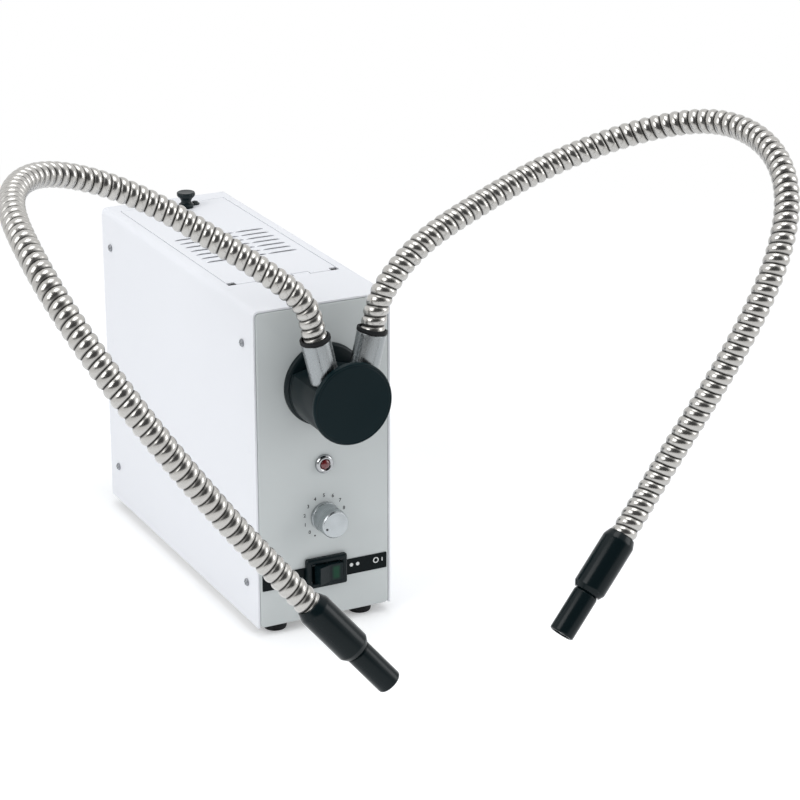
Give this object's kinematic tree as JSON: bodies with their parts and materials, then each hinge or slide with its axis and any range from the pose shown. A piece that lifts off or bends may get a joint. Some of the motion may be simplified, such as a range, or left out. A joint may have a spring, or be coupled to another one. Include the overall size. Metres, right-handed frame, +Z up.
{
  "type": "fiber optic illuminator",
  "caption": "Bench light source: vented steel case with lamp, fan and dimmer, feeding a plug-in light guide whose bendable ribbed arms end in slim nozzles.",
  "frame": {"origin": "on the bench, midway between the four feet", "axes": "+Z up, +X to the right seen from the front, +Y to the rear; the front panel and the light guide look along -Y"},
  "size_m": [0.425, 0.4246, 0.2965],
  "materials": {
    "case_grey": "satin grey paint",
    "case_white": "satin off-white paint",
    "zinc_sheet": "zinc-plated sheet",
    "steel": "plain",
    "chrome": "bright",
    "hose_steel": "bright wound steel",
    "satin_aluminium": "satin",
    "black_anodised": "satin black",
    "black_plastic": "gloss",
    "black_matte": "matte",
    "black_rubber": "matte",
    "dark_screw": "black oxide",
    "red_lens": "clear red",
    "green_rocker": "black and green",
    "glass": "clear",
    "fibre": "polished fibre end",
    "ceramic": "ceramic",
    "iron": "laminated",
    "copper_tape": "taped winding",
    "board_green": "circuit board",
    "brass": "plain"
  },
  "bodies": {
    "case": {"chassis_base": "zinc_sheet", "front_panel": "case_grey", "rear_panel": "case_grey", "cover_shell": "case_white", "cover_screws": "dark_screw", "rubber_feet": "black_rubber", "foot_screws": "steel", "guide_socket": "black_anodised", "panel_nuts": "steel", "indicator_bezel": "chrome", "indicator_lens": "red_lens", "potentiometer": "steel", "trim_band": "black_plastic", "switch_housing": "black_plastic", "hatch_hinge_pin": "steel", "lamp_bracket": "zinc_sheet", "heat_filter": "glass", "lamp_reflector": "glass", "lamp_capsule": "glass", "lamp_holder": "ceramic", "fan_frame": "black_matte", "fan_screws": "dark_screw", "mains_inlet": "black_matte", "fuse_holder": "black_matte", "transformer_core": "iron", "transformer_coil": "copper_tape", "transformer_strap": "zinc_sheet", "dimmer_board": "board_green"},
    "guide_plug": {"guide_nose": "steel", "fibre_bundle": "fibre"},
    "guide_splitter": {"guide_head": "black_anodised", "guide_cap": "black_anodised", "fibre_tails": "fibre", "ferrules": "satin_aluminium", "ferrule_collars": "black_rubber", "left_neck_base_bend": "hose_steel", "right_neck_base_bend": "hose_steel"},
    "left_lower_arm": {"left_neck_lower_run": "hose_steel", "left_neck_arch_bend": "hose_steel"},
    "left_upper_arm": {"left_neck_upper_run": "hose_steel", "left_neck_tip_bend": "hose_steel"},
    "left_nozzle": {"left_nozzle_body": "black_anodised", "left_nozzle_tip": "black_anodised", "left_nozzle_lens": "glass"},
    "right_lower_arm": {"right_neck_lower_run": "hose_steel", "right_neck_arch_bend": "hose_steel"},
    "right_upper_arm": {"right_neck_upper_run": "hose_steel", "right_neck_tip_bend": "hose_steel"},
    "right_nozzle": {"right_nozzle_body": "black_anodised", "right_nozzle_tip": "black_anodised", "right_nozzle_lens": "glass"},
    "dimmer_dial": {"intensity_knob": "satin_aluminium", "control_shaft": "brass"},
    "rocker": {"switch_rocker": "green_rocker"},
    "lamp_hatch": {"hatch_lid": "case_white", "knob_strap": "black_matte"},
    "hatch_catch": {"hatch_knob": "black_plastic"},
    "fan_impeller": {"fan_rotor": "black_matte"},
    "fuse": {"fuse_link": "glass"},
    "fuse_carrier": {"fuse_cap": "black_matte"}
  },
  "joints": [
    {"name": "guide_pull", "type": "slide", "parent": "case", "child": "guide_plug", "axis": [0, -1, 0], "range_m": [0, 0.025]},
    {"name": "guide_turn", "type": "hinge", "parent": "guide_plug", "child": "guide_splitter", "pos_m": [0, -0.127, 0.1483], "axis": [0, 1, 0], "range_deg": [-10, 10]},
    {"name": "left_arm_swing", "type": "hinge", "parent": "guide_splitter", "child": "left_lower_arm", "pos_m": [-0.016, -0.142, 0.18], "axis": [0, 0, 1], "range_deg": [-45, 6], "deforming": ["left_neck_base_bend"]},
    {"name": "left_arch_lift", "type": "hinge", "parent": "left_lower_arm", "child": "left_upper_arm", "pos_m": [-0.16307, -0.11209, 0.28699], "axis": [-0.667, 0.745, 0], "range_deg": [-6, 30], "deforming": ["left_neck_arch_bend"]},
    {"name": "left_tip_tilt", "type": "hinge", "parent": "left_upper_arm", "child": "left_nozzle", "pos_m": [-0.12063, -0.27575, 0.14032], "axis": [-0.1824, -0.9832, 0], "range_deg": [-12, 25], "deforming": ["left_neck_tip_bend"]},
    {"name": "right_arm_swing", "type": "hinge", "parent": "guide_splitter", "child": "right_lower_arm", "pos_m": [0.016, -0.142, 0.18], "axis": [0, 0, 1], "range_deg": [-6, 45], "deforming": ["right_neck_base_bend"]},
    {"name": "right_arch_lift", "type": "hinge", "parent": "right_lower_arm", "child": "right_upper_arm", "pos_m": [0.18076, -0.14925, 0.27914], "axis": [-0.5499, -0.8352, 0], "range_deg": [-6, 30], "deforming": ["right_neck_arch_bend"]},
    {"name": "right_tip_tilt", "type": "hinge", "parent": "right_upper_arm", "child": "right_nozzle", "pos_m": [0.13068, -0.27175, 0.13811], "axis": [0.184, 0.9829, 0], "range_deg": [-12, 25], "deforming": ["right_neck_tip_bend"]},
    {"name": "intensity_turn", "type": "hinge", "parent": "case", "child": "dimmer_dial", "pos_m": [0, -0.123, 0.068], "axis": [0, 1, 0], "range_deg": [-36, 233]},
    {"name": "switch_rock", "type": "hinge", "parent": "case", "child": "rocker", "pos_m": [0, -0.1166, 0.0345], "axis": [0, 0, -1], "range_deg": [0, 20]},
    {"name": "hatch_open", "type": "hinge", "parent": "case", "child": "lamp_hatch", "pos_m": [0, -0.063, 0.1942], "axis": [1, 0, 0], "range_deg": [0, 75]},
    {"name": "hatch_knob_turn", "type": "hinge", "parent": "lamp_hatch", "child": "hatch_catch", "pos_m": [0.005, 0.091, 0.2], "axis": [0, 0, 1], "range_deg": [0, 90]},
    {"name": "fan_spin", "type": "hinge", "parent": "case", "child": "fan_impeller", "pos_m": [0, 0.105, 0.1483], "axis": [0, 1, 0], "continuous": true},
    {"name": "fuse_pull", "type": "slide", "parent": "case", "child": "fuse", "axis": [0, 1, 0], "range_m": [0, 0.025]},
    {"name": "fuse_cap_turn", "type": "hinge", "parent": "fuse", "child": "fuse_carrier", "pos_m": [0.024, 0.118, 0.038], "axis": [0, 1, 0], "range_deg": [0, 45]}
  ]
}
